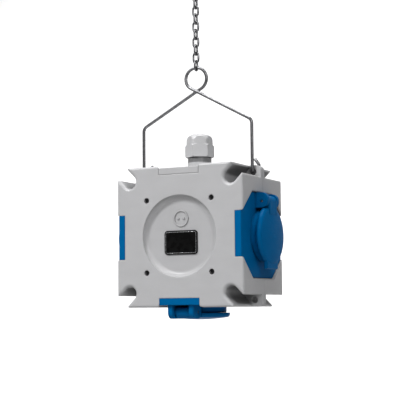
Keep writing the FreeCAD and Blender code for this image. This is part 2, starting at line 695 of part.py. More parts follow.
def bail_route(points):
    """Wide bend at the shoulder, tight bends where the wire hooks through the lug."""
    tight = rounded_route(points[1:], 2.2)
    shoulder = rounded_route(points[:3], 6.0)
    first = tight[0].valueAt(tight[0].LastParameter)
    bend_end = shoulder[1].valueAt(shoulder[1].LastParameter)
    return shoulder[:2] + [line(bend_end, first)] + tight[1:]


# ---------------------------------------------------------------- write the parts

def in_case(shape):
    return moved(shape, CASE_CENTRE)


def write(name, shape):
    shape.exportStep("parts/" + name + ".step")


def case_nodes():
    return {"front_shell": front_shell(), "rear_shell": rear_shell(), "shell_gasket": gasket_ring(0),
            "case_screws": case_screws(), "badge": badge(), "terminal_block": terminal_block(),
            "terminal_screws": terminal_screws(), "live_wires": wires("live"),
            "neutral_wires": wires("neutral"), "earth_wires": wires("earth")}


def gland_nodes():
    return {"blank_plate": blank_plate(), "gland_body": gland_body(), "gland_nut": gland_nut(),
            "gland_lock_nut": gland_lock_nut(), "gland_seal": gland_seal(), "gland_o_ring": tube(11.0, 9.9, 0, 1.0)}


def socket_nodes(turn, edge):
    return {"housing": socket_housing(turn, edge), "insert": socket_insert(), "back_cover": socket_cover(),
            "contacts": socket_contacts(), "earth_clip": earth_clip(), "centre_screw": centre_screw(),
            "hinge_pin": hinge_pin(), "lid_spring": lid_spring(), "lid": socket_lid(), "lid_seal": lid_seal()}


def main():
    os.makedirs("parts", exist_ok=True)
    write("hook", hook())
    for number in range(1, LINK_COUNT + 1):
        write("link_%02d" % number, chain_link(number))
    write("bail", bail())
    for name, shape in case_nodes().items():
        write(name, in_case(shape))
    for name, shape in gland_nodes().items():
        write(name, on_side(shape, UP))
    for side, (outward, turn) in SOCKET_SIDES.items():
        for name, shape in socket_nodes(turn, HINGE_EDGE[side]).items():
            write(side + "_" + name, on_side(shape, outward, turn))


main()
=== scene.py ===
import json
import math

import bmesh
import bpy
from bpy.props import FloatProperty, FloatVectorProperty, IntProperty, PointerProperty
from mathutils import Matrix, Vector


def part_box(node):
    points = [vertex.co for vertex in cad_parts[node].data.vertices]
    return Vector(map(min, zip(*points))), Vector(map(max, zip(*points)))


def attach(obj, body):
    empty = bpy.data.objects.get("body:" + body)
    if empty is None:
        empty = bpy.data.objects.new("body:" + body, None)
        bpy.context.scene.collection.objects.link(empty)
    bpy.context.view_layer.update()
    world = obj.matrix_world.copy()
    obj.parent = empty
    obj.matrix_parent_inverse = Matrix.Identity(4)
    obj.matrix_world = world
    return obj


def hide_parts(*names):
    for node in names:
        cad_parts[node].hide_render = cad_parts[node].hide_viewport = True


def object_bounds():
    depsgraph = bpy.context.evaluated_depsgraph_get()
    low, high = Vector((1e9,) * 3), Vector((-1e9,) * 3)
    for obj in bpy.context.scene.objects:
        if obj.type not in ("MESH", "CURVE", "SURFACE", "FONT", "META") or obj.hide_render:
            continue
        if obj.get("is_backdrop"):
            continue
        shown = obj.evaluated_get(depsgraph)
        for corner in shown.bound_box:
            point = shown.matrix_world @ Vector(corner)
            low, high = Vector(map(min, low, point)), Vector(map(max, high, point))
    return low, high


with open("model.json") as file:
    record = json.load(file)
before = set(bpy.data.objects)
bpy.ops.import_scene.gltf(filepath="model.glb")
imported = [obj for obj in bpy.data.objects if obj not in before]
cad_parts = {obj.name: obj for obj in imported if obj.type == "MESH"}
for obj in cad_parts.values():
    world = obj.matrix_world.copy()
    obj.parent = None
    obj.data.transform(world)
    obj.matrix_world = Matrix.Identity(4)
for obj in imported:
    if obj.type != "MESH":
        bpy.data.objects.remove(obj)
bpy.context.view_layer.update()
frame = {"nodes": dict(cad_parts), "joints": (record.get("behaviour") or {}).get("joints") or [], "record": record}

bl_info = {
    "name": "Hanging power box",
    "version": (1, 0, 0),
    "blender": (4, 5, 0),
    "location": "View3D > Sidebar > Power box",
    "description": "Looks of a hanging power box: case, lidded sockets, cable gland, bail, chain and hook",
    "category": "Object",
}

MM = 0.001
SENSOR_WIDTH = 36       # of the camera, in millimetres
RIGHT = Vector((1, 0, 0))
REAR = Vector((0, 1, 0))
UP = Vector((0, 0, 1))
SIDES = ("right", "left", "bottom")
LINKS = sorted(name for name in frame["nodes"] if name.startswith("link_"))


# ---------------------------------------------------------------- places read from the frame

def middle(node):
    """Centre of a CAD node's box."""
    low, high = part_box(node)
    return (low + high) / 2


def joint_place(name):
    """Point on a joint's axis."""
    return Vector(next(joint["pos_m"] for joint in frame["joints"] if joint["name"] == name))


def mount_place(name):
    """Centre of a mount's opening."""
    return Vector(next(mount["pos_m"] for mount in frame["record"]["mounts"] if mount["name"] == name))


def case_centre():
    """Centre of the case, whose two shells meet in its mid-plane."""
    place = middle("right_insert")
    return Vector((middle("front_shell").x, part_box("front_shell")[1].y, place.z))


CENTRE = case_centre()
CASE_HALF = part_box("blank_plate")[1].z - CENTRE.z


def socket_place(side):
    """Matrix of a socket's own axes: X along its hinge pin, Y towards the hinge, Z out of the case."""
    out = (middle(side + "_insert") - CENTRE).normalized()
    base = CENTRE + out * CASE_HALF
    reach = joint_place(side + "_lid_hinge") - base
    up = (reach - out * reach.dot(out)).normalized()
    axes = Matrix((up.cross(out), up, out)).transposed()
    return Matrix.Translation(base) @ axes.to_4x4()


# ---------------------------------------------------------------- sizes and colours

class BoxColours(bpy.types.PropertyGroup):
    """Base colours of the finishes."""
    grey: FloatVectorProperty(name="Case grey", description="Moulded case", subtype="COLOR",
                              default=(0.50, 0.50, 0.51))
    gland: FloatVectorProperty(name="Gland grey", description="Cable gland", subtype="COLOR",
                               default=(0.56, 0.56, 0.57))
    blue: FloatVectorProperty(name="Socket blue", description="Socket plates and lids", subtype="COLOR",
                              default=(0.0, 0.120, 0.33))
    black: FloatVectorProperty(name="Insert black", description="Contact carriers", subtype="COLOR",
                               default=(0.022, 0.022, 0.024))
    badge: FloatVectorProperty(name="Badge black", description="Name plate", subtype="COLOR",
                               default=(0.005, 0.005, 0.005))
    steel: FloatVectorProperty(name="Wire", description="Plated steel wire", subtype="COLOR",
                               default=(0.25, 0.25, 0.26))
    brass: FloatVectorProperty(name="Brass", description="Contacts", subtype="COLOR",
                               default=(0.62, 0.46, 0.20))


class BoxSizes(bpy.types.PropertyGroup):
    """Sizes of the pieces that are drawn here."""
    wire: FloatProperty(name="Bail wire", description="Radius of the bail's wire", unit="LENGTH",
                        default=1.5 * MM)
    ring: FloatProperty(name="Bail ring", description="Radius of the ring, at the wire's centre",
                        unit="LENGTH", default=10.5 * MM)
    shoulder: FloatProperty(name="Bail shoulder",
                            description="Height of the bail's shoulders above the case centre",
                            unit="LENGTH", default=107.7 * MM)
    link_wire: FloatProperty(name="Link wire", description="Radius of a chain link's wire",
                             unit="LENGTH", default=0.95 * MM)
    spring_wire: FloatProperty(name="Spring wire", description="Radius of a lid spring's wire",
                               unit="LENGTH", default=0.45 * MM)
    spring_turns: IntProperty(name="Spring turns", description="Turns of a lid spring", default=6)
    edge: FloatProperty(name="Moulded edge", description="Rounding that the finish adds to a moulded edge",
                        unit="LENGTH", default=1.4 * MM)


class BoxView(bpy.types.PropertyGroup):
    """Where the camera stands and how it looks."""
    bearing: FloatProperty(name="Bearing",
                           description="Camera's bearing from the case, from the front to the right",
                           subtype="ANGLE", default=math.radians(27.146))
    distance: FloatProperty(name="Distance", description="Level distance from the case centre",
                            unit="LENGTH", default=1.11378)
    drop: FloatProperty(name="Drop", description="Camera below the case centre", unit="LENGTH",
                        default=0.06661)
    heading: FloatProperty(name="Heading", description="Direction that the camera looks in",
                           subtype="ANGLE", default=math.radians(27.151))
    tilt: FloatProperty(name="Tilt", description="Camera's upward tilt", subtype="ANGLE",
                        default=math.radians(5.263))
    roll: FloatProperty(name="Roll", description="Camera's roll", subtype="ANGLE",
                        default=math.radians(-0.506))
    lens: FloatProperty(name="Lens", description="Focal length for the sensor's width, in millimetres",
                        default=106.45)


# ---------------------------------------------------------------- finishes

class Signal:
    """A shader socket that can be written in a sum."""

    def __init__(self, finish, socket):
        self.finish = finish
        self.socket = socket

    def math(self, operation, first, second):
        return self.finish.add("ShaderNodeMath", {"operation": operation}, {0: first, 1: second})

    def __add__(self, other):
        return self.math("ADD", self, other)

    def __radd__(self, other):
        return self.math("ADD", other, self)

    def __sub__(self, other):
        return self.math("SUBTRACT", self, other)

    def __rsub__(self, other):
        return self.math("SUBTRACT", other, self)

    def __mul__(self, other):
        return self.math("MULTIPLY", self, other)

    def __rmul__(self, other):
        return self.math("MULTIPLY", other, self)

    def __abs__(self):
        return self.math("ABSOLUTE", self, 0.0)


class Finish:
    """One material: its shader's constants and the nodes that vary it."""

    def __init__(self, name, colour, roughness, **constants):
        self.material = bpy.data.materials.new(name)
        self.material.use_nodes = True
        self.material.diffuse_color = (*colour, 1)
        self.tree = self.material.node_tree
        self.shader = self.tree.nodes["Principled BSDF"]
        self.colour = (*colour, 1)
        self.shader.inputs["Base Color"].default_value = self.colour
        self.shader.inputs["Roughness"].default_value = roughness
        for socket, value in constants.items():
            self.shader.inputs[socket.replace("_", " ")].default_value = value

    @staticmethod
    def find(sockets, key):
        """A socket by its number, identifier or name."""
        if isinstance(key, int):
            return sockets[key]
        return next(socket for socket in sockets if key in (socket.identifier, socket.name))

    def add(self, kind, settings=None, sockets=None, output=0):
        """A node of a kind, with its settings, then its sockets' values or links."""
        node = self.tree.nodes.new(kind)
        for name, value in (settings or {}).items():
            setattr(node, name, value)
        for key, value in (sockets or {}).items():
            self.feed(self.find(node.inputs, key), value)
        return Signal(self, self.find(node.outputs, output))

    def feed(self, socket, value):
        """Link a signal to a socket, or set the socket's own value."""
        if isinstance(value, Signal):
            self.tree.links.new(value.socket, socket)
        else:
            socket.default_value = value

    def set(self, name, value):
        """Feed one of the shader's sockets."""
        self.feed(self.shader.inputs[name], value)

    def fed(self, name):
        """What feeds one of the shader's sockets so far."""
        return Signal(self, self.shader.inputs[name].links[0].from_socket)

    def place(self, stretch=(1, 1, 1)):
        """The point on the piece, in its own axes."""
        point = self.add("ShaderNodeTexCoord", output="Object")
        return self.add("ShaderNodeVectorMath", {"operation": "MULTIPLY"}, {0: point, 1: stretch})

    def noise(self, size, detail=2.0, stretch=(1, 1, 1)):
        """Noise between about 0.3 and 0.7, with features of a size, longer where stretch is small."""
        return self.add("ShaderNodeTexNoise", None,
                        {"Vector": self.place(stretch), "Scale": 1 / size, "Detail": detail})

    def between(self, signal, low, high):
        """0 below low, 1 above high, smooth between them."""
        return self.add("ShaderNodeMapRange", {"interpolation_type": "SMOOTHSTEP"},
                        {"Value": signal, "From Min": low, "From Max": high})

    def mix(self, factor, first, second):
        """One colour fading into another."""
        return self.add("ShaderNodeMix", {"data_type": "RGBA"},
                        {"Factor_Float": factor, "A_Color": first, "B_Color": second}, "Result_Color")

    def along(self, axis):
        """How far a point of the piece lies along one of its axes."""
        return self.add("ShaderNodeSeparateXYZ", None, {"Vector": self.place()}, axis)

    def underside(self):
        """1 where the surface faces down, 0 where it faces sideways or up."""
        facing = self.add("ShaderNodeNewGeometry", output="Normal")
        upward = self.add("ShaderNodeSeparateXYZ", None, {"Vector": facing}, "Z")
        return 1 - self.between(upward, -0.8, -0.1)

    def tint(self, amount):
        """The base colour made lighter or darker."""
        return tuple(min(1.0, part * amount) for part in self.colour[:3]) + (1,)

    def bump(self, height, depth, normal=None):
        """Normal of a relief of a depth, over another normal if there is one."""
        sockets = {"Strength": 1.0, "Distance": depth, "Height": height}
        if normal is not None:
            sockets["Normal"] = normal
        return self.add("ShaderNodeBump", None, sockets)

    def rounded(self, radius):
        """Normal of a sharp edge rounded to a radius."""
        return self.add("ShaderNodeBevel", {"samples": 6}, {"Radius": radius})

    def hollows(self, reach):
        """1 where the surface is open, falling to 0 in its corners and gaps."""
        return self.add("ShaderNodeAmbientOcclusion", {"samples": 8}, {"Distance": reach}, "AO")


GLAND_SURFACE = {"roughness": 0.36, "edge": 0.35 * MM, "grain": 0.3 * MM, "depth": 0.01 * MM}


def moulded(name, colour, roughness, edge, grain=0.5 * MM, depth=0.02 * MM, reach=5 * MM, **constants):
    """Moulded plastic: fine grain, faint flow marks, handling shine, and painted shade that darkens its hollows
    and underside.
    """
    finish = Finish(name, colour, roughness, **constants)
    fine = finish.noise(grain, 3)
    flow = finish.noise(24 * MM, 3, (1, 0.6, 2.2))
    handled = finish.noise(9 * MM, 4)
    scuffs = finish.between(finish.noise(1.6 * MM, 4, (0.25, 0.25, 3)), 0.66, 0.72)
    tone = finish.mix(finish.between(flow, 0.3, 0.7), finish.tint(0.98), finish.tint(1.02))
    tone = finish.mix(scuffs * 0.3, tone, finish.tint(1.25))
    crease = 1 - finish.between(finish.hollows(reach), 0.3, 0.8)
    # painted shade: darker where ambient occlusion finds a hollow, and darker on surfaces that face down
    painted_shade = crease * 0.6 + finish.underside() * (crease * 0.6 + 0.3)
    finish.set("Base Color", finish.mix(painted_shade, tone, finish.tint(0.2)))
    gloss = roughness - 0.05 + finish.between(handled, 0.35, 0.65) * 0.08 + fine * 0.06 + crease * 0.15
    finish.set("Roughness", gloss + scuffs * 0.1)
    finish.set("Normal", finish.bump(fine * 0.7 + handled * 0.3, depth, finish.rounded(edge)))
    return finish


def case_finish(colours, sizes):
    """Grey case plastic with the fine parting line where the two shells meet."""
    finish = moulded("case_moulding", colours.grey, roughness=0.34, edge=sizes.edge, reach=20 * MM)
    seam = 1 - finish.between(abs(finish.along("Y") - CENTRE.y), 0.10 * MM, 0.30 * MM)
    finish.set("Normal", finish.bump(1 - seam, 0.12 * MM, finish.fed("Normal")))
    finish.set("Base Color", finish.mix(seam * 0.16, finish.fed("Base Color"), finish.tint(0.35)))
    return finish.material


def stud_finish(colours, nut_base):
    """Gland plastic whose neck has painted shade close under the nut."""
    finish = moulded("stud_moulding", colours.gland, **GLAND_SURFACE)
    # painted shade: the gland body is darkened from about 5 mm below the nut upward
    shade_under_nut = finish.between(finish.along("Z"), nut_base - 5.5 * MM, nut_base - 4.5 * MM)
    finish.set("Base Color", finish.mix(shade_under_nut * 0.75, finish.fed("Base Color"), finish.tint(0.12)))
    return finish.material


def plated(name, colour, roughness):
    """Plated steel: drawn streaks, a slight cloudiness and a few dull spots."""
    finish = Finish(name, colour, roughness, Metallic=1.0)
    streaks = finish.noise(0.35 * MM, 3, (1, 1, 0.12))
    cloud = finish.noise(4 * MM, 3)
    spots = finish.between(finish.noise(1.1 * MM, 2), 0.66, 0.74)
    tone = finish.mix(finish.between(cloud, 0.35, 0.65), finish.tint(0.86), finish.tint(1.12))
    finish.set("Base Color", finish.mix(spots * 0.5, tone, finish.tint(0.55)))
    finish.set("Roughness", roughness - 0.06 + streaks * 0.16 + spots * 0.2)
    finish.set("Normal", finish.bump(streaks, 0.012 * MM))
    return finish.material


def rubbery(name, colour):
    """Black rubber: matte, faintly dusty."""
    finish = Finish(name, colour, 0.72)
    dust = finish.between(finish.noise(1.5 * MM, 4), 0.45, 0.75)
    finish.set("Base Color", finish.mix(dust * 0.35, finish.tint(0.9), finish.tint(2.6)))
    finish.set("Roughness", 0.64 + dust * 0.2)
    finish.set("Normal", finish.bump(finish.noise(0.25 * MM, 2), 0.02 * MM))
    return finish.material


def badge_finish(colours):
    """Gloss black plate with faint fingerprints."""
    finish = Finish("badge_gloss", colours.badge, 0.3, Specular_IOR_Level=0.06)
    smear = finish.between(finish.noise(5 * MM, 3), 0.4, 0.7)
    finish.set("Base Color", finish.mix(smear, finish.tint(0.9), finish.tint(1.3)))
    finish.set("Roughness", 0.26 + smear * 0.08)
    finish.set("Normal", finish.bump(smear, 0.004 * MM))
    return finish.material


def core_cover(name, first, second):
    """Cover of a wire core: two colours in long stripes, or two shades of one colour."""
    finish = Finish(name, first, 0.38)
    stripe = finish.between(finish.noise(1.3 * MM, 0, (1, 1, 0.05)), 0.46, 0.54)
    finish.set("Base Color", finish.mix(stripe, (*first, 1), (*second, 1)))
    finish.set("Roughness", 0.34 + finish.noise(0.8 * MM) * 0.12)
    finish.set("Normal", finish.bump(finish.noise(0.6 * MM), 0.02 * MM))
    return finish.material


def paint(nodes, material):
    """Give CAD nodes a finish."""
    for name in nodes:
        for slot in frame["nodes"][name].material_slots:
            slot.material = material


def of_each_socket(part):
    """CAD nodes of one part of the three sockets."""
    return [side + "_" + part for side in SIDES]


# ---------------------------------------------------------------- shapes

ARC_STEP = math.radians(9)      # turn from one point to the next in a wire's bend
CORNER_STEPS = 6                # steps round a plate's corner
TURNED_SIDES = 48               # sides of a turned piece
END_DOME = 0.5                  # height of a wire's domed end, in its radii


def rounded_route(points, bend):
    """Points along straight runs that meet in arcs of one radius."""
    route = [points[0]]
    for before, corner, after in zip(points, points[1:], points[2:]):
        back = (before - corner).normalized()
        ahead = (after - corner).normalized()
        half = back.angle(ahead) / 2
        centre = corner + (back + ahead).normalized() * (bend / math.sin(half))
        start = corner + back * (bend / math.tan(half)) - centre
        axis = back.cross(ahead).normalized()
        sweep = math.pi - 2 * half
        steps = max(2, round(sweep / ARC_STEP))
        route += [centre + Matrix.Rotation(-sweep * k / steps, 3, axis) @ start for k in range(steps + 1)]
    return route + [points[-1]]


def ring_arc(centre, radius, start, end, count, wide=RIGHT, tall=UP):
    """Points on an arc from one angle to another, in degrees, in the plane of two directions."""
    angles = [math.radians(start + (end - start) * k / count) for k in range(count + 1)]
    return [centre + wide * (radius * math.cos(a)) + tall * (radius * math.sin(a)) for a in angles]


def directions(route, closed):
    """Unit vector along the route at each of its points."""
    last = len(route) - 1
    along = []
    for k in range(last + 1):
        before = route[k - 1] if closed or k > 0 else route[0]
        after = route[(k + 1) % (last + 1)] if closed or k < last else route[last]
        along.append((after - before).normalized())
    return along


def lengths_along(route):
    """Share of the route's length at each point."""
    total = [0.0]
    for start, end in zip(route, route[1:]):
        total.append(total[-1] + (end - start).length)
    return [length / total[-1] for length in total]


def bar(name, route, radius, sides, closed=False):
    """Round bar along a route. The radius is a function of the share of the way; open ends are domed."""
    along = directions(route, closed)
    share = lengths_along(route)
    normal = along[0].orthogonal().normalized()
    rings = []
    for point, way, part in zip(route, along, share):
        normal = (normal - way * normal.dot(way)).normalized()
        rings.append((point, way, normal, radius(part)))
    if not closed:
        rings = domed(rings[0], -END_DOME)[::-1] + rings + domed(rings[-1], END_DOME)
    mesh = bmesh.new()
    loops = [circle(mesh, *ring, sides) for ring in rings]
    pairs = list(zip(loops, loops[1:]))
    if closed:
        pairs.append((loops[-1], loops[0]))
    for first, second in pairs:
        for k in range(sides):
            mesh.faces.new((first[k], first[(k + 1) % sides], second[(k + 1) % sides], second[k]))
    if not closed:
        mesh.faces.new(loops[0][::-1])
        mesh.faces.new(loops[-1])
    return finished(name, mesh)


def domed(ring, height):
    """Shrinking rings that dome a bar's end to a height in radii, which is below 0 at the bar's start."""
    point, way, normal, radius = ring
    angles = [math.radians(a) for a in (25, 50, 72)]
    return [(point + way * (height * radius * math.sin(a)), way, normal, radius * math.cos(a))
            for a in angles]


def circle(mesh, point, way, normal, radius, sides):
    """Ring of a mesh's points round a bar's centre line."""
    across = way.cross(normal)
    turns = [2 * math.pi * k / sides for k in range(sides)]
    return [mesh.verts.new(point + (normal * math.cos(t) + across * math.sin(t)) * radius)
            for t in turns]


def turned(name, outline, place):
    """Turned piece: an outline of radius and height round the Z axis of a placing matrix."""
    mesh = bmesh.new()
    points = [mesh.verts.new((radius, 0, height)) for radius, height in outline]
    edges = [mesh.edges.new(pair) for pair in zip(points, points[1:])]
    bmesh.ops.spin(mesh, geom=points + edges, cent=(0, 0, 0), axis=(0, 0, 1), angle=2 * math.pi,
                   steps=TURNED_SIDES, use_merge=True)
    bmesh.ops.remove_doubles(mesh, verts=mesh.verts, dist=0.001 * MM)
    mesh.transform(place)
    return finished(name, mesh)


def finished(name, mesh):
    """Object of a mesh, with its faces outward and smooth."""
    bmesh.ops.recalc_face_normals(mesh, faces=mesh.faces)
    for face in mesh.faces:
        face.smooth = True
    data = bpy.data.meshes.new(name)
    mesh.to_mesh(data)
    mesh.free()
    piece = bpy.data.objects.new(name, data)
    bpy.context.scene.collection.objects.link(piece)
    return piece


def rounded_rectangle(width, height, corner):
    """Outline of a rectangle with round corners, about its centre."""
    points = []
    for turn, (sx, sy) in enumerate(((1, 1), (-1, 1), (-1, -1), (1, -1))):
        centre = Vector((sx * (width / 2 - corner), sy * (height / 2 - corner), 0))
        points += ring_arc(centre, corner, 90 * turn, 90 * turn + 90, CORNER_STEPS, RIGHT, REAR)
    return points


def plate(name, outline, thickness, place, edge, hole=None):
    """Flat plate, or a frame if it has a hole, with rounded edges."""
    mesh = bmesh.new()
    outer = [mesh.verts.new(point) for point in outline]
    if hole is None:
        mesh.faces.new(outer)
    else:
        inner = [mesh.verts.new(point) for point in hole]
        for k in range(len(outer)):
            after = (k + 1) % len(outer)
            mesh.faces.new((outer[k], outer[after], inner[after], inner[k]))
    raised = bmesh.ops.extrude_face_region(mesh, geom=mesh.faces[:])
    moved = [item for item in raised["geom"] if isinstance(item, bmesh.types.BMVert)]
    bmesh.ops.translate(mesh, vec=(0, 0, thickness), verts=moved)
    mesh.transform(place)
    piece = finished(name, mesh)
    rounding = piece.modifiers.new("rounding", "BEVEL")
    rounding.width = edge
    rounding.segments = 3
    rounding.angle_limit = math.radians(50)
    rounding.harden_normals = True
    return piece


def fit(piece, material, body, slot, *nodes):
    """Finish a piece, let it ride on a body, and let it stand for CAD nodes."""
    piece.data.materials.append(material)
    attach(piece, body)
    if nodes:
        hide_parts(*nodes)


# ---------------------------------------------------------------- one operator for each piece

class POWERBOX_OT_case(bpy.types.Operator):
    """Finish the two shells, their screws and the seal between them"""
    bl_idname = "powerbox.case"
    bl_label = "Case"

    def execute(self, context):
        colours = context.scene.powerbox_colours
        grey = case_finish(colours, context.scene.powerbox_sizes)
        paint(["front_shell", "rear_shell", "blank_plate"], grey)
        paint(["shell_gasket"], rubbery("gasket_cord", (0.02, 0.02, 0.02)))
        paint(["case_screws"], plated("screw_plating", (0.20, 0.20, 0.21), roughness=0.36))
        return {"FINISHED"}


class POWERBOX_OT_badge(bpy.types.Operator):
    """Make the blank name plate with its fine raised border"""
    bl_idname = "powerbox.badge"
    bl_label = "Badge"

    CORNER = 3 * MM
    EDGE = 0.3 * MM
    BORDER_INSET = 1.1 * MM
    BORDER_WIDTH = 0.6 * MM
    BORDER_CORNER = 2 * MM
    BORDER_HEIGHT = 0.16 * MM
    BORDER_SUNK = 0.05 * MM     # into the plate, and the border's rounding

    def execute(self, context):
        low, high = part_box("badge")
        width = high.x - low.x
        height = high.z - low.z
        facing = Matrix((RIGHT, UP, -REAR)).transposed().to_4x4()
        centre = Vector((middle("badge").x, high.y, middle("badge").z))
        place = Matrix.Translation(centre) @ facing
        black = badge_finish(context.scene.powerbox_colours)
        silver = plated("badge_border", (0.62, 0.63, 0.64), roughness=0.24)
        thickness = (high.y - low.y) * 0.8
        outline = rounded_rectangle(width, height, self.CORNER)
        body = plate("badge_plate", outline, thickness, place, self.EDGE)
        fit(body, black, "case", "badge_black", "badge")
        above = place @ Matrix.Translation((0, 0, thickness - self.BORDER_SUNK))
        inset = 2 * self.BORDER_INSET
        outer = rounded_rectangle(width - inset, height - inset, self.BORDER_CORNER)
        inset += 2 * self.BORDER_WIDTH
        inner = rounded_rectangle(width - inset, height - inset, self.BORDER_CORNER - self.BORDER_WIDTH)
        border = plate("badge_border", outer, self.BORDER_HEIGHT, above, self.BORDER_SUNK, inner)
        fit(border, silver, "case", "badge_black")
        return {"FINISHED"}


class POWERBOX_OT_gland(bpy.types.Operator):
    """Finish the cable gland: stud, dome nut, lock nut and rubber seals"""
    bl_idname = "powerbox.gland"
    bl_label = "Cable gland"

    def execute(self, context):
        colours = context.scene.powerbox_colours
        plastic = moulded("gland_moulding", colours.gland, **GLAND_SURFACE).material
        paint(["gland_nut", "gland_lock_nut"], plastic)
        paint(["gland_body"], stud_finish(colours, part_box("gland_nut")[0].z))
        paint(["gland_seal", "gland_o_ring"], rubbery("gland_rubber", (0.02, 0.02, 0.02)))
        return {"FINISHED"}


class POWERBOX_OT_sockets(bpy.types.Operator):
    """Finish the three sockets: plates, lids, contact carriers and metal parts"""
    bl_idname = "powerbox.sockets"
    bl_label = "Sockets"

    LID_ROUNDING = 1.5      # a lid's rounding, in moulded edges

    def execute(self, context):
        colours = context.scene.powerbox_colours
        edge = context.scene.powerbox_sizes.edge
        blue = self.plastic("socket_moulding", colours.blue, edge)
        lid_blue = self.plastic("lid_moulding", colours.blue, self.LID_ROUNDING * edge)
        black = moulded("insert_moulding", colours.black, roughness=0.48, edge=0.3 * MM).material
        paint(of_each_socket("housing"), blue)
        paint(of_each_socket("lid"), lid_blue)
        paint(of_each_socket("insert") + of_each_socket("back_cover"), black)
        paint(of_each_socket("lid_seal"), rubbery("lid_rubber", (0.025, 0.025, 0.026)))
        paint(of_each_socket("contacts"), plated("contact_brass", colours.brass, roughness=0.3))
        zinc = plated("zinc_plating", (0.55, 0.55, 0.55), roughness=0.3)
        paint(of_each_socket("earth_clip") + of_each_socket("centre_screw"), zinc)
        return {"FINISHED"}

    @staticmethod
    def plastic(name, colour, edge):
        """Deeply coloured plastic with a faint sheen."""
        finish = moulded(name, colour, roughness=0.3, edge=edge, grain=0.4 * MM, depth=0.012 * MM,
                         Specular_IOR_Level=0.03)
        return finish.material


class POWERBOX_OT_hinges(bpy.types.Operator):
    """Make the lids' hinge pins and wound closing springs"""
    bl_idname = "powerbox.hinges"
    bl_label = "Lid hinges"

    CHAMFER = 0.3 * MM      # at a pin's ends
    TURN_STEPS = 18         # steps in a turn of a spring

    def execute(self, context):
        steel = plated("pin_steel", context.scene.powerbox_colours.steel, roughness=0.26)
        sizes = context.scene.powerbox_sizes
        for side in SIDES:
            place = socket_place(side)
            hinge = place.inverted() @ joint_place(side + "_lid_hinge")
            self.pin(side, place, hinge, steel)
            self.spring(side, place, hinge, sizes, steel)
        return {"FINISHED"}

    def pin(self, side, place, hinge, steel):
        """Pin with chamfered ends, as long and thick as the CAD's."""
        low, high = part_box(side + "_hinge_pin")
        half = max(high - low) / 2
        radius = min(high - low) / 2
        outline = [(0, -half), (radius - self.CHAMFER, -half), (radius, self.CHAMFER - half),
                   (radius, half - self.CHAMFER), (radius - self.CHAMFER, half), (0, half)]
        along = place @ Matrix.Translation(hinge) @ Matrix.Rotation(math.pi / 2, 4, "Y")
        fit(turned(side + "_pin", outline, along), steel, "case", "steel_wire", side + "_hinge_pin")

    def spring(self, side, place, hinge, sizes, steel):
        """Wound wire between the housing's ears."""
        low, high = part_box(side + "_lid_spring")
        reach = max(high - low) / 2 - sizes.spring_wire
        wound = min(high - low) / 2 - sizes.spring_wire
        turns = 2 * math.pi * sizes.spring_turns
        steps = sizes.spring_turns * self.TURN_STEPS
        route = []
        for k in range(steps + 1):
            turn = turns * k / steps
            x = reach * (2 * k / steps - 1)
            point = hinge + Vector((x, wound * math.cos(turn), wound * math.sin(turn)))
            route.append(place @ point)
        wire = bar(side + "_spring_coil", route, lambda part: sizes.spring_wire, 10)
        fit(wire, steel, "case", "steel_wire", side + "_lid_spring")


class POWERBOX_OT_wiring(bpy.types.Operator):
    """Finish the connector and the wire cores inside the case"""
    bl_idname = "powerbox.wiring"
    bl_label = "Wiring inside"

    def execute(self, context):
        brass = context.scene.powerbox_colours.brass
        white = moulded("terminal_moulding", (0.70, 0.69, 0.63), roughness=0.45, edge=0.2 * MM).material
        paint(["terminal_block"], white)
        paint(["terminal_screws"], plated("terminal_plating", brass, roughness=0.34))
        paint(["live_wires"], core_cover("live_cover", (0.10, 0.035, 0.015), (0.11, 0.04, 0.018)))
        paint(["neutral_wires"], core_cover("neutral_cover", (0.02, 0.07, 0.32), (0.025, 0.08, 0.35)))
        paint(["earth_wires"], core_cover("earth_cover", (0.04, 0.26, 0.05), (0.62, 0.55, 0.03)))
        return {"FINISHED"}


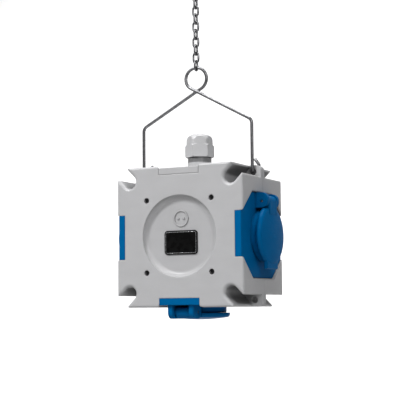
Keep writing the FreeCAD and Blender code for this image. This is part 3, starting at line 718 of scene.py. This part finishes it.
class POWERBOX_OT_bail(bpy.types.Operator):
    """Make the bail: one bright wire from lug to lug, with a ring where it crosses itself"""
    bl_idname = "powerbox.bail"
    bl_label = "Bail"

    TAIL = ((-2.6 * MM, 72 * MM), (1.6 * MM, 66.5 * MM))    # aside from the leg, above the case centre
    SEAT_LIFT = 1.1 * MM        # of the bend above the middle of the lug's hole
    LUG_BEND = 2.2 * MM
    SHOULDER_BEND = 6 * MM
    STAND_OFF = 1.12            # of each strand where they cross, in wire radii
    RING_STEPS = 40

    def execute(self, context):
        sizes = context.scene.powerbox_sizes
        steel = plated("bail_steel", context.scene.powerbox_colours.steel, roughness=0.34)
        wire = bar("bail_wire", self.route(sizes), lambda part: sizes.wire, 24)
        fit(wire, steel, "bail", "steel_wire", "bail")
        return {"FINISHED"}

    def route(self, sizes):
        """Wire's centre line: tail, leg and diagonal, round the ring, and the same on the other side."""
        lug = mount_place("right_lower_lug")
        leg = lug.x
        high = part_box("bail")[1]
        ring = Vector((0, 0, high.z - sizes.ring - sizes.wire))
        shoulder = CENTRE.z + sizes.shoulder
        rise = ring.z - shoulder
        slope = math.atan2(rise, leg) - math.asin(sizes.ring / math.hypot(rise, leg))
        touch = math.degrees(slope) - 90
        apart = self.STAND_OFF * sizes.wire
        behind = 2 * CENTRE.y
        seat = 2 * CENTRE.z - lug.z + self.SEAT_LIFT

        def half(side):
            """One side's tail, leg and diagonal, up to where it meets the ring."""
            far = math.radians(touch)
            reach = Vector((-side * math.cos(far), 0, math.sin(far))) * sizes.ring
            end = ring + reach - REAR * (side * apart)
            points = [Vector((side * (leg + aside), behind, CENTRE.z + height))
                      for aside, height in self.TAIL]
            points += [Vector((side * leg, behind, seat)), Vector((side * leg, 0, seat)),
                       Vector((side * leg, 0, shoulder))]
            hooked = rounded_route(points, self.LUG_BEND)
            return hooked[:-1] + rounded_route([hooked[-2], points[-1], end], self.SHOULDER_BEND)[1:]

        loop = ring_arc(ring, sizes.ring, touch, 180 - touch, self.RING_STEPS)
        count = len(loop) - 1
        loop = [point + REAR * (apart * (1 - 2 * k / count)) for k, point in enumerate(loop)]
        return half(-1)[:-1] + loop + half(1)[:-1][::-1]


class POWERBOX_OT_chain(bpy.types.Operator):
    """Make the chain: welded oval links, each turned a quarter from the last"""
    bl_idname = "powerbox.chain"
    bl_label = "Chain"

    ARC_STEPS = 14          # steps round a link's end
    WELD_SWELL = 0.14       # share that the weld adds to the wire's radius
    WELD_REACH = 0.03       # share of the link's length that it spreads over

    def execute(self, context):
        wire = context.scene.powerbox_sizes.link_wire
        steel = plated("chain_steel", context.scene.powerbox_colours.steel, roughness=0.3)
        for name in LINKS:
            low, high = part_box(name)
            size = high - low
            wide = REAR if size.y > size.x else RIGHT
            # The gap inside the link stays as the CAD has it; the thicker wire grows outward.
            centre_line = wire - min(size.x, size.y)
            across = max(size.x, size.y) / 2 + centre_line
            half = size.z / 2 + centre_line - across
            centre = middle(name)
            route = self.loop(centre, wide, across, half)
            link = bar(name + "_wire", route, lambda part: wire * self.weld(part), 12, closed=True)
            fit(link, steel, name, "steel_wire", name)
        return {"FINISHED"}

    def loop(self, centre, wide, across, half):
        """Closed oval that starts in the middle of one straight side, where the weld is."""
        side = centre + wide * across
        beside = UP * half * 0.3
        top = ring_arc(centre + UP * half, across, 0, 180, self.ARC_STEPS, wide)
        bottom = ring_arc(centre - UP * half, across, 180, 360, self.ARC_STEPS, wide)
        return [side, side + beside] + top + bottom + [side - beside]

    def weld(self, part):
        """Share of the wire's radius, which swells a little at the weld."""
        near = min(part, 1 - part)
        return 1 + self.WELD_SWELL * math.exp(-(near / self.WELD_REACH) ** 2)


class POWERBOX_OT_hook(bpy.types.Operator):
    """Make the top hook: an open bend above a closed eye"""
    bl_idname = "powerbox.hook"
    bl_label = "Hook"

    EYE = 6 * MM            # radius of the lower eye, at the wire's centre
    MOUTH = 198             # angle in degrees at which the bend's open end stands
    EYE_END = 412           # angle in degrees at which the eye closes on the shank
    TIP = 0.78              # share of the wire's radius at the open end

    def execute(self, context):
        steel = plated("hook_steel", context.scene.powerbox_colours.steel, roughness=0.24)
        wire = context.scene.powerbox_sizes.wire
        low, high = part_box("hook")
        bend = (high.z - low.z - 2 * wire) / 2 - self.EYE
        upper = Vector((0, 0, high.z - wire - bend))
        lower = Vector((0, 0, low.z + wire + self.EYE))
        route = ring_arc(upper, bend, self.MOUTH, -90, 36)
        route += ring_arc(lower, self.EYE, 90, self.EYE_END, 36)[1:]
        piece = bar("hook_wire", route, lambda part: wire * min(1, self.TIP + part * 4), 24)
        fit(piece, steel, "hook", "steel_wire", "hook")
        return {"FINISHED"}


class POWERBOX_OT_stage(bpy.types.Operator):
    """Make the pale floor and backdrop, the soft lights and the camera"""
    bl_idname = "powerbox.stage"
    bl_label = "Stage"

    # Name, place from the case centre, side in metres and power in watts.
    LAMPS = (("key", (-0.8, -1.4, 1.6), 0.6, 36), ("top", (0.1, 0.0, 1.7), 0.8, 23),
             ("front", (1.3, -1.2, 0.9), 0.5, 10))
    SKY = 0.16                      # strength of the even light from all round
    FLOOR_DROP = 0.55               # floor below the object's lowest point
    FLOOR_FRONT = -5.0              # where the floor ends in front
    FLOOR_BACK = 2.0                # where it starts to curve up
    WALL_BEND = 1.2                 # radius of the curve
    WALL_HEIGHT = 6
    ACROSS = (-6, -2, 2, 6)         # the backdrop's rows from left to right
    GLOW_FADE = (1.3, 2.1)          # the glow fades between these distances from its middle

    def execute(self, context):
        scene = context.scene
        scene.view_settings.view_transform = "Standard"
        self.backdrop(scene.powerbox_view)
        world = bpy.data.worlds.new("studio")
        world.use_nodes = True
        sky = world.node_tree.nodes["Background"]
        sky.inputs["Color"].default_value = (1, 1, 1, 1)
        sky.inputs["Strength"].default_value = self.SKY
        scene.world = world
        for name, offset, size, power in self.LAMPS:
            self.lamp(name, Vector(offset), size, power)
        self.camera(scene)
        return {"FINISHED"}

    def backdrop(self, view):
        """Floor that curves up into a wall, which glows where the camera looks."""
        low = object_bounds()[0][2] - self.FLOOR_DROP
        bend = self.WALL_BEND
        wall = self.FLOOR_BACK + bend
        turn = [math.radians(90 * k / 16) for k in range(17)]
        curve = [(self.FLOOR_BACK + bend * math.sin(a), low + bend * (1 - math.cos(a))) for a in turn]
        glow = CENTRE + Vector((-math.tan(view.heading) * wall, wall, 0.1))
        profile = [(self.FLOOR_FRONT, low)] + curve + [(wall, low + self.WALL_HEIGHT)]
        mesh = bmesh.new()
        rows = [[mesh.verts.new((x, y, z)) for y, z in profile] for x in self.ACROSS]
        for first, second in zip(rows, rows[1:]):
            for k in range(len(profile) - 1):
                mesh.faces.new((first[k], second[k], second[k + 1], first[k + 1]))
        piece = finished("backdrop", mesh)
        paper = Finish("backdrop_paper", (0.66, 0.66, 0.66), 0.9, Emission_Strength=0.95)
        away = paper.add("ShaderNodeVectorMath", {"operation": "DISTANCE"},
                         {0: paper.place(), 1: glow}, "Value")
        lit = 1 - paper.between(away, *self.GLOW_FADE)
        paper.set("Emission Color", paper.mix(lit, (0, 0, 0, 1), (1, 1, 1, 1)))
        paper.set("Normal", paper.bump(paper.noise(6 * MM, 3), 0.1 * MM))
        piece.data.materials.append(paper.material)
        piece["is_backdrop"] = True

    @staticmethod
    def lamp(name, offset, size, power):
        """Square soft light that faces the case."""
        light = bpy.data.lights.new(name, "AREA")
        light.size = size
        light.energy = power
        lamp = bpy.data.objects.new(name, light)
        lamp.location = CENTRE + offset
        lamp.rotation_euler = (-offset).to_track_quat("-Z", "Y").to_euler()
        bpy.context.scene.collection.objects.link(lamp)

    @staticmethod
    def camera(scene):
        """Camera a little below the case, to the right of its front."""
        view = scene.powerbox_view
        data = bpy.data.cameras.new("camera")
        data.sensor_width = SENSOR_WIDTH
        data.lens = view.lens
        camera = bpy.data.objects.new("camera", data)
        scene.collection.objects.link(camera)
        stand = Vector((math.sin(view.bearing), -math.cos(view.bearing), 0)) * view.distance
        turn = (Matrix.Rotation(view.heading, 4, "Z") @ Matrix.Rotation(math.pi / 2 + view.tilt, 4, "X")
                @ Matrix.Rotation(view.roll, 4, "Z"))
        camera.matrix_world = Matrix.Translation(CENTRE + stand - UP * view.drop) @ turn
        scene.camera = camera


class POWERBOX_PT_panel(bpy.types.Panel):
    """Lists the pieces, sizes and colours"""
    bl_idname = "POWERBOX_PT_panel"
    bl_label = "Power box"
    bl_space_type = "VIEW_3D"
    bl_region_type = "UI"
    bl_category = "Power box"

    def draw(self, context):
        for step in STEPS:
            self.layout.operator(step.bl_idname)
        for place in GROUPS:
            group = getattr(context.scene, place)
            box = self.layout.box()
            for name in group.__annotations__:
                box.prop(group, name)


STEPS = (POWERBOX_OT_stage, POWERBOX_OT_case, POWERBOX_OT_badge, POWERBOX_OT_gland, POWERBOX_OT_sockets,
         POWERBOX_OT_hinges, POWERBOX_OT_wiring, POWERBOX_OT_bail, POWERBOX_OT_chain, POWERBOX_OT_hook)
GROUPS = {"powerbox_sizes": BoxSizes, "powerbox_colours": BoxColours, "powerbox_view": BoxView}


def register():
    for kind in (*GROUPS.values(), *STEPS, POWERBOX_PT_panel):
        bpy.utils.register_class(kind)
    for name, group in GROUPS.items():
        setattr(bpy.types.Scene, name, PointerProperty(type=group))


def unregister():
    for name in GROUPS:
        delattr(bpy.types.Scene, name)
    for kind in (POWERBOX_PT_panel, *STEPS[::-1], *GROUPS.values()):
        bpy.utils.unregister_class(kind)


def main():
    """Make every piece and the stage."""
    register()
    for step in STEPS:
        group, name = step.bl_idname.split(".")
        getattr(getattr(bpy.ops, group), name)()


if __name__ == "__main__":
    main()
